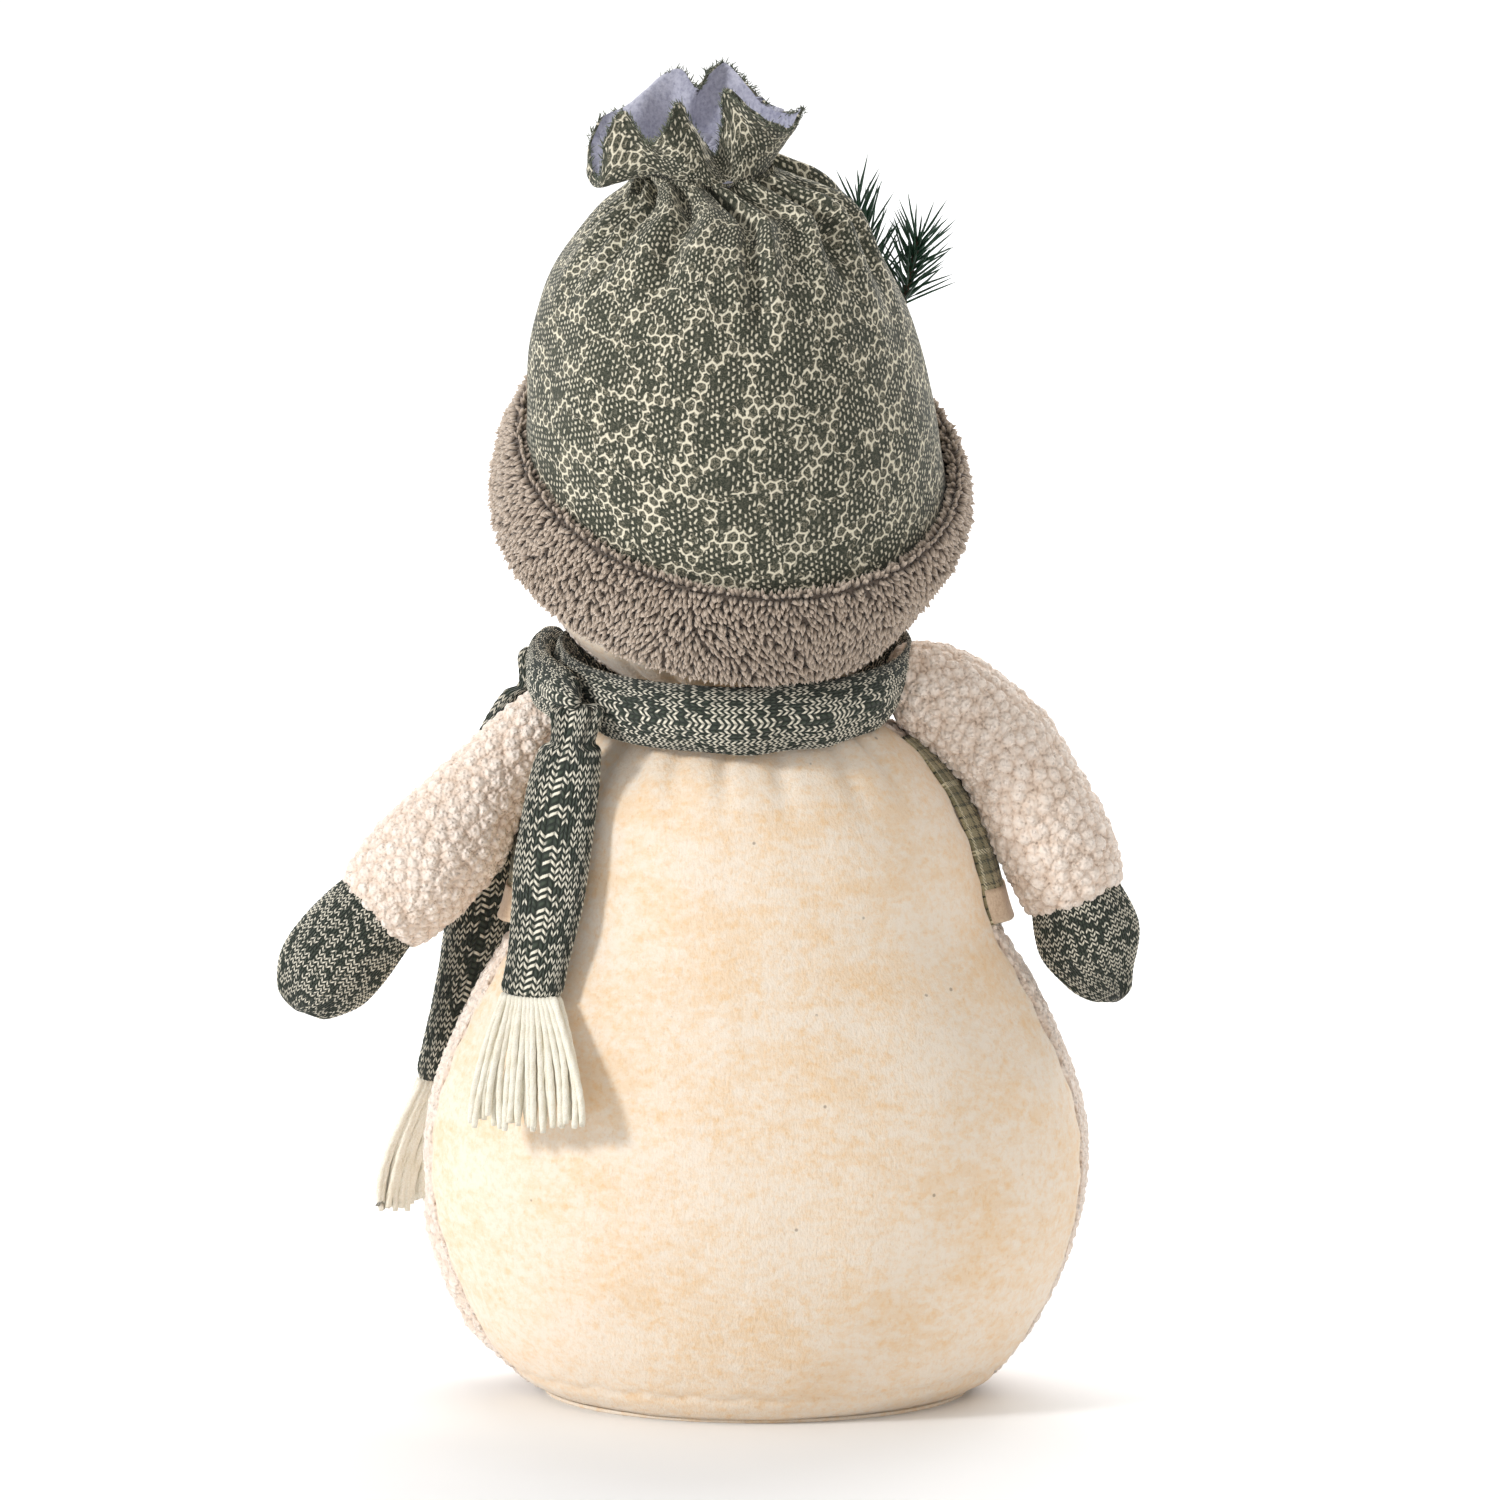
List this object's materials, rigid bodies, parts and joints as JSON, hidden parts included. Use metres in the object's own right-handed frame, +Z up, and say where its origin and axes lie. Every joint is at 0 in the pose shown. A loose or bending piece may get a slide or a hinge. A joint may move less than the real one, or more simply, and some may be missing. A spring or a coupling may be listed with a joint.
{
  "type": "stuffed snowman figure",
  "caption": "Standing stuffed fabric snowman with a fleece front, felt back, knitted scarf and mittens, plaid vest and gathered hat with a fur cuff.",
  "frame": {"origin": "centre of the flat base panel, on the surface that the figure stands on", "axes": "+Z up, -Y the way the face looks, +X towards the figure's left arm"},
  "size_m": [0.3281, 0.2096, 0.5101],
  "materials": {
    "back_felt": "matte",
    "front_fleece": "matte",
    "stuffing": "matte",
    "bag_cloth": "matte",
    "white_yarn": "matte",
    "plaid_tweed": "matte",
    "button_wood": "satin",
    "marled_knit": "matte",
    "carrot_felt": "matte",
    "black_bead": "gloss",
    "hat_knit": "matte",
    "dark_thread": "matte",
    "taupe_fur": "matte",
    "wire_stem": "matte",
    "pine_needle": "satin"
  },
  "bodies": {
    "torso": {"body_back_panel": "back_felt", "body_front_panel": "front_fleece", "base_panel": "back_felt", "body_stuffing": "stuffing", "weight_bag": "bag_cloth", "neck_tie": "white_yarn", "vest_left_panel": "plaid_tweed", "vest_right_panel": "plaid_tweed", "vest_buttons": "button_wood", "scarf_wrap": "marled_knit", "scarf_crossover": "marled_knit"},
    "head": {"head_back_panel": "back_felt", "head_front_panel": "front_fleece", "head_stuffing": "stuffing", "nose": "carrot_felt", "left_eye": "black_bead", "right_eye": "black_bead", "mouth_beads": "black_bead", "hat_crown": "hat_knit", "hat_stuffing": "stuffing", "hat_frill": "hat_knit", "hat_gather_cord": "dark_thread", "hat_cuff": "taupe_fur", "sprig_stems": "wire_stem", "sprig_needles": "pine_needle"},
    "left_arm": {"left_sleeve": "front_fleece", "left_mitten": "marled_knit", "left_arm_stuffing": "stuffing"},
    "right_arm": {"right_sleeve": "front_fleece", "right_mitten": "marled_knit", "right_arm_stuffing": "stuffing"},
    "back_tail": {"scarf_back_tail": "marled_knit", "back_fringe": "white_yarn"},
    "front_tail": {"scarf_front_tail": "marled_knit", "front_fringe": "white_yarn"}
  },
  "joints": [
    {"name": "head_turn", "type": "hinge", "parent": "torso", "child": "head", "pos_m": [0.007, 0, 0.2775], "axis": [0, 0, 1], "range_deg": [-15, 15], "stiffness_Nm_per_rad": 0.2},
    {"name": "left_arm_raise", "type": "hinge", "parent": "torso", "child": "left_arm", "pos_m": [0.084, 0, 0.252], "axis": [0, -1, 0], "range_deg": [0, 45]},
    {"name": "right_arm_raise", "type": "hinge", "parent": "torso", "child": "right_arm", "pos_m": [-0.071, 0, 0.272], "axis": [0, 1, 0], "range_deg": [0, 45]},
    {"name": "back_tail_swing", "type": "hinge", "parent": "torso", "child": "back_tail", "pos_m": [0.07, 0.042, 0.26], "axis": [1, 0, 0], "range_deg": [0, 50]},
    {"name": "front_tail_swing", "type": "hinge", "parent": "torso", "child": "front_tail", "pos_m": [0.084, -0.034, 0.269], "axis": [-1, 0, 0], "range_deg": [0, 40]}
  ]
}
